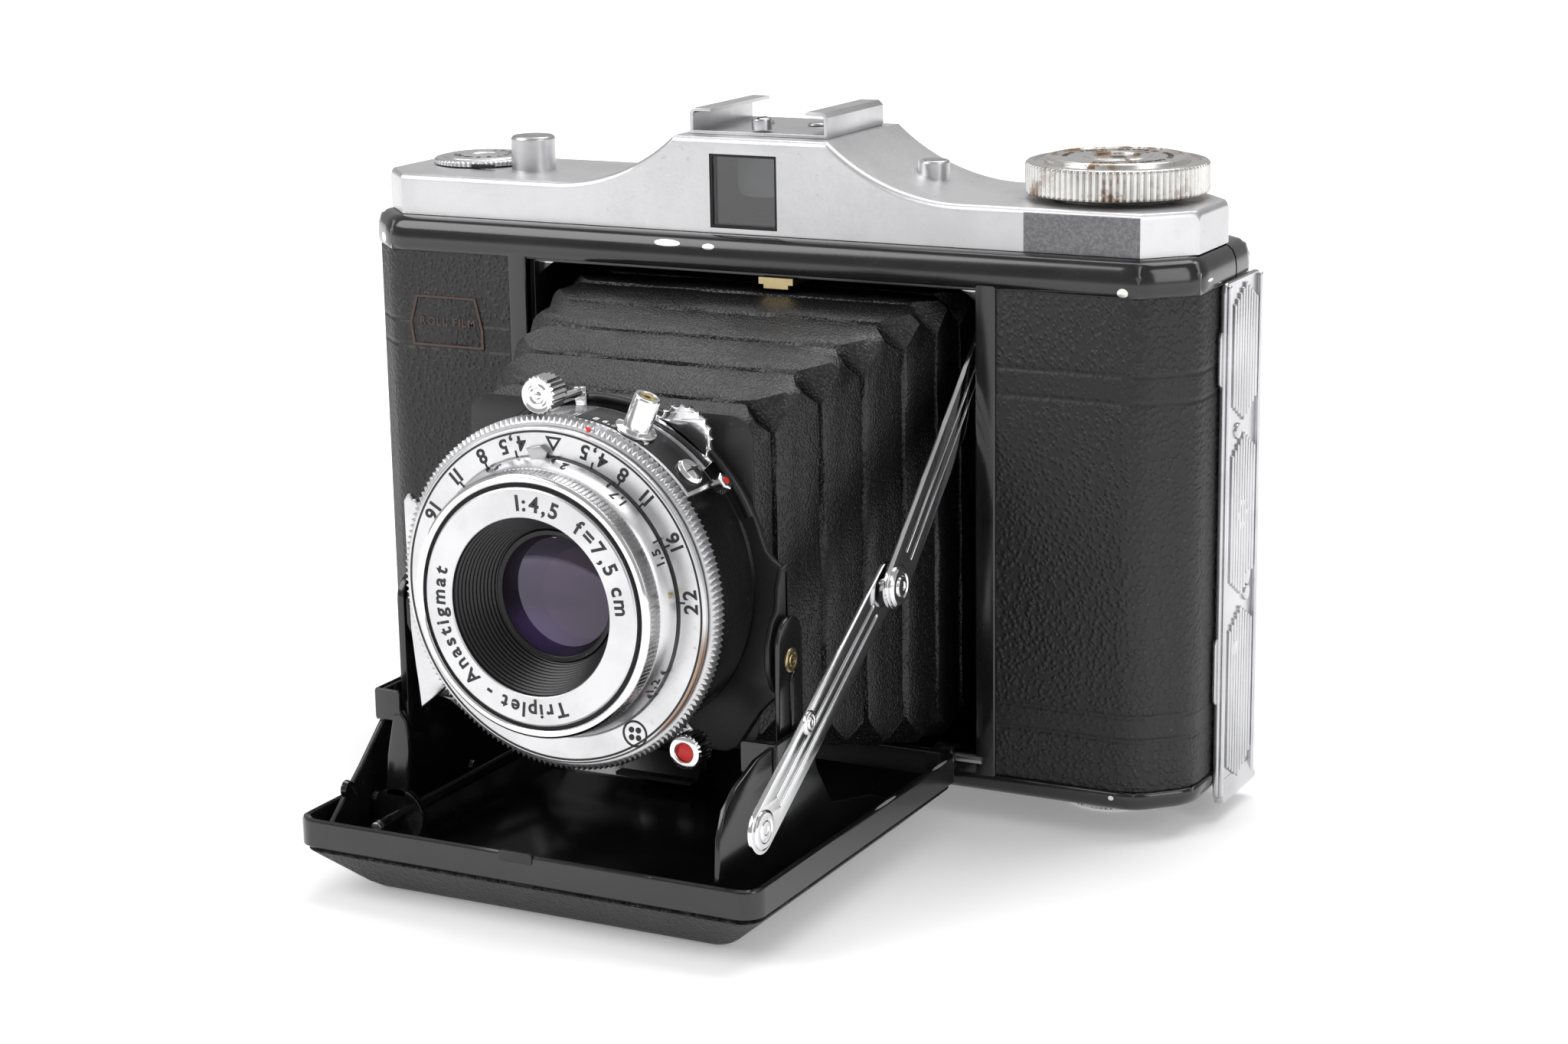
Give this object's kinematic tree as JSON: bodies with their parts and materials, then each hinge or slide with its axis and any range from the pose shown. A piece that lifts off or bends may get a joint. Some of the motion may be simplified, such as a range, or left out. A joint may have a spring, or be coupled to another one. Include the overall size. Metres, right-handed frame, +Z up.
{
  "type": "folding camera",
  "caption": "Folding roll-film camera with drop bed, bellows, a chrome strut, leaf shutter and focusing front lens, chrome top cover with finder, shoe and winding knob.",
  "frame": {"origin": "bottom centre of the whole open camera, on the table", "axes": "+X to the viewer's right when facing the lens and along the body's length, the lens looks along -Y, +Z up"},
  "size_m": [0.141, 0.101, 0.1025],
  "materials": {
    "black_enamel": "gloss",
    "leatherette": "pebbled",
    "bellows_leather": "fine grain",
    "satin_chrome": "satin",
    "bright_chrome": "polished",
    "steel": "satin",
    "brass": "worn",
    "black_metal": "satin",
    "black_anodised": "satin",
    "coated_glass": "polished",
    "clear_glass": "polished",
    "red_glass": "polished",
    "black_plastic": "satin"
  },
  "bodies": {
    "body": {"body_shell": "black_enamel", "leather_left": "leatherette", "leather_right": "leatherette", "tripod_bush": "steel", "top_cover": "satin_chrome", "finder_barrel": "black_metal", "finder_front_glass": "clear_glass", "finder_eyepiece": "clear_glass", "accessory_shoe": "bright_chrome", "shoe_stop_pin": "steel", "film_gate": "black_metal", "bed_hinge_pin": "steel", "back_hinge_pin": "steel", "bellows": "bellows_leather"},
    "winding_knob": {"winding_knob": "satin_chrome"},
    "takeup_spool": {"takeup_spool": "black_plastic"},
    "supply_spool": {"supply_spool": "black_plastic"},
    "reminder_disc": {"reminder_disc": "satin_chrome"},
    "release_button": {"release_button": "bright_chrome"},
    "door_button": {"door_button": "bright_chrome"},
    "door_catch": {"door_catch": "brass"},
    "film_roller_left": {"film_roller_left": "steel"},
    "film_roller_right": {"film_roller_right": "steel"},
    "spool_peg_left": {"spool_peg_left": "bright_chrome"},
    "spool_peg_right": {"spool_peg_right": "bright_chrome"},
    "back_door": {"back_door": "black_enamel", "back_leather": "leatherette", "red_window": "red_glass", "pressure_spring": "steel"},
    "window_slider": {"window_slider": "satin_chrome"},
    "pressure_plate": {"pressure_plate": "black_metal"},
    "latch_strip": {"latch_strip": "bright_chrome"},
    "bed": {"bed_tray": "black_enamel", "bed_leather": "leatherette", "bed_liner": "black_metal", "bed_plate_spring": "black_metal"},
    "release_shaft": {"release_shaft": "black_metal"},
    "strut_lower": {"strut_lower": "bright_chrome"},
    "strut_upper": {"strut_upper": "bright_chrome"},
    "standard_arm_left": {"standard_arm_left": "black_metal"},
    "standard_arm_right": {"standard_arm_right": "black_metal"},
    "standard": {"standard_plate": "black_metal", "shutter_housing": "black_anodised", "scale_plate": "satin_chrome", "aperture_scale": "black_anodised", "sync_socket": "bright_chrome", "scale_screw": "bright_chrome", "rear_lens": "coated_glass"},
    "speed_ring": {"speed_ring": "bright_chrome"},
    "front_cell": {"focus_ring": "satin_chrome", "name_ring": "satin_chrome", "front_lens": "coated_glass"},
    "aperture_lever": {"aperture_lever": "bright_chrome"},
    "iris": {"iris": "black_metal"},
    "shutter_blades": {"shutter_blades": "black_metal"},
    "cocking_lever": {"cocking_lever": "bright_chrome"},
    "self_timer_lever": {"self_timer_lever": "bright_chrome"},
    "release_arm": {"release_arm": "bright_chrome"}
  },
  "joints": [
    {"name": "bed_fold", "type": "hinge", "parent": "body", "child": "bed", "pos_m": [0, 0.01695, 0.0095], "axis": [-1, 0, 0], "range_deg": [0, 90], "deforming": ["bellows"]},
    {"name": "strut_lower_turn", "type": "hinge", "parent": "bed", "child": "strut_lower", "pos_m": [0.0344, -0.0451, 0.0181], "axis": [-1, 0, 0], "range_deg": [0, 31.68]},
    {"name": "strut_upper_turn", "type": "hinge", "parent": "strut_lower", "child": "strut_upper", "pos_m": [0.0357, -0.007, 0.0416], "axis": [1, 0, 0], "range_deg": [0, 169.06]},
    {"name": "standard_arm_left_turn", "type": "hinge", "parent": "bed", "child": "standard_arm_left", "pos_m": [-0.0317, -0.02505, 0.0205], "axis": [-1, 0, 0], "range_deg": [0, 81.01]},
    {"name": "standard_arm_right_turn", "type": "hinge", "parent": "bed", "child": "standard_arm_right", "pos_m": [0.0317, -0.02505, 0.0205], "axis": [-1, 0, 0], "range_deg": [0, 81.01]},
    {"name": "standard_turn", "type": "hinge", "parent": "standard_arm_right", "child": "standard", "pos_m": [0.0303, -0.02505, 0.0375], "axis": [1, 0, 0], "range_deg": [0, 171.01]},
    {"name": "focus_turn", "type": "hinge", "parent": "standard", "child": "front_cell", "pos_m": [0, -0.0407, 0.0439], "axis": [0, -1, 0], "range_deg": [0, 240]},
    {"name": "speed_turn", "type": "hinge", "parent": "standard", "child": "speed_ring", "pos_m": [0, -0.0365, 0.0439], "axis": [0, -1, 0], "range_deg": [-60, 60]},
    {"name": "aperture_turn", "type": "hinge", "parent": "standard", "child": "aperture_lever", "pos_m": [0, -0.0267, 0.0439], "axis": [0, -1, 0], "range_deg": [-50, 12]},
    {"name": "iris_turn", "type": "hinge", "parent": "standard", "child": "iris", "pos_m": [0, -0.0309, 0.0439], "axis": [0, -1, 0], "range_deg": [-50, 12]},
    {"name": "cocking_turn", "type": "hinge", "parent": "standard", "child": "cocking_lever", "pos_m": [0, -0.0267, 0.0439], "axis": [0, -1, 0], "range_deg": [0, 38]},
    {"name": "self_timer_turn", "type": "hinge", "parent": "standard", "child": "self_timer_lever", "pos_m": [0, -0.0341, 0.0439], "axis": [0, -1, 0], "range_deg": [-50, 0]},
    {"name": "release_arm_turn", "type": "hinge", "parent": "standard", "child": "release_arm", "pos_m": [0, -0.0309, 0.0439], "axis": [0, -1, 0], "range_deg": [0, 6.01]},
    {"name": "shutter_blades_turn", "type": "hinge", "parent": "standard", "child": "shutter_blades", "pos_m": [0, -0.0321, 0.0439], "axis": [0, -1, 0], "range_deg": [0, 30.01]},
    {"name": "release_shaft_turn", "type": "hinge", "parent": "bed", "child": "release_shaft", "pos_m": [-0.0272, -0.0207, 0.0088], "axis": [0, -1, 0], "range_deg": [0, 12.01]},
    {"name": "release_press", "type": "slide", "parent": "body", "child": "release_button", "axis": [0, 0, -1], "range_m": [0, 0.0018], "stiffness_N_per_m": 300},
    {"name": "door_button_press", "type": "slide", "parent": "body", "child": "door_button", "axis": [0, 0, -1], "range_m": [0, 0.0015], "stiffness_N_per_m": 300},
    {"name": "door_catch_slide", "type": "slide", "parent": "body", "child": "door_catch", "axis": [0, 1, 0], "range_m": [0, 0.00151]},
    {"name": "winding_turn", "type": "hinge", "parent": "body", "child": "winding_knob", "pos_m": [0.0516, 0.0348, 0.0945], "axis": [0, 0, 1], "continuous": true},
    {"name": "takeup_turn", "type": "hinge", "parent": "body", "child": "takeup_spool", "pos_m": [0.0516, 0.0348, 0.0435], "axis": [0, 0, 1], "continuous": true},
    {"name": "supply_turn", "type": "hinge", "parent": "body", "child": "supply_spool", "pos_m": [-0.0516, 0.0348, 0.0435], "axis": [0, 0, 1], "continuous": true},
    {"name": "reminder_turn", "type": "hinge", "parent": "body", "child": "reminder_disc", "pos_m": [-0.0562, 0.0358, 0.0915], "axis": [0, 0, 1], "continuous": true},
    {"name": "film_roller_left_turn", "type": "hinge", "parent": "body", "child": "film_roller_left", "pos_m": [-0.0346, 0.0455, 0.0445], "axis": [0, 0, 1], "continuous": true},
    {"name": "film_roller_right_turn", "type": "hinge", "parent": "body", "child": "film_roller_right", "pos_m": [0.0346, 0.0455, 0.0445], "axis": [0, 0, 1], "continuous": true},
    {"name": "spool_peg_left_pull", "type": "slide", "parent": "body", "child": "spool_peg_left", "axis": [0, 0, -1], "range_m": [0, 0.004]},
    {"name": "spool_peg_right_pull", "type": "slide", "parent": "body", "child": "spool_peg_right", "axis": [0, 0, -1], "range_m": [0, 0.004]},
    {"name": "back_door_turn", "type": "hinge", "parent": "body", "child": "back_door", "pos_m": [-0.0693, 0.03695, 0.0445], "axis": [0, 0, 1], "range_deg": [0, 150]},
    {"name": "window_slide", "type": "slide", "parent": "back_door", "child": "window_slider", "axis": [1, 0, 0], "range_m": [0, 0.0115]},
    {"name": "pressure_plate_press", "type": "slide", "parent": "back_door", "child": "pressure_plate", "axis": [0, 1, 0], "range_m": [0, 0.001], "stiffness_N_per_m": 400, "deforming": ["pressure_spring"]},
    {"name": "latch_slide", "type": "slide", "parent": "back_door", "child": "latch_strip", "axis": [0, 0, -1], "range_m": [0, 0.0025]}
  ],
  "couplings": [
    {"joint": "strut_lower_turn", "follows": "bed_fold", "ratio": 0.3519},
    {"joint": "strut_upper_turn", "follows": "bed_fold", "ratio": 1.8783},
    {"joint": "standard_arm_left_turn", "follows": "bed_fold", "ratio": 0.9},
    {"joint": "standard_arm_right_turn", "follows": "bed_fold", "ratio": 0.9},
    {"joint": "standard_turn", "follows": "bed_fold", "ratio": 1.9},
    {"joint": "iris_turn", "follows": "aperture_turn", "ratio": 1},
    {"joint": "takeup_turn", "follows": "winding_turn", "ratio": 1},
    {"joint": "door_catch_slide", "follows": "door_button_press", "ratio": 1},
    {"joint": "release_shaft_turn", "follows": "release_press", "rad_per_m": 116.36},
    {"joint": "release_arm_turn", "follows": "release_press", "rad_per_m": 58.178},
    {"joint": "shutter_blades_turn", "follows": "release_press", "rad_per_m": 290.89}
  ]
}
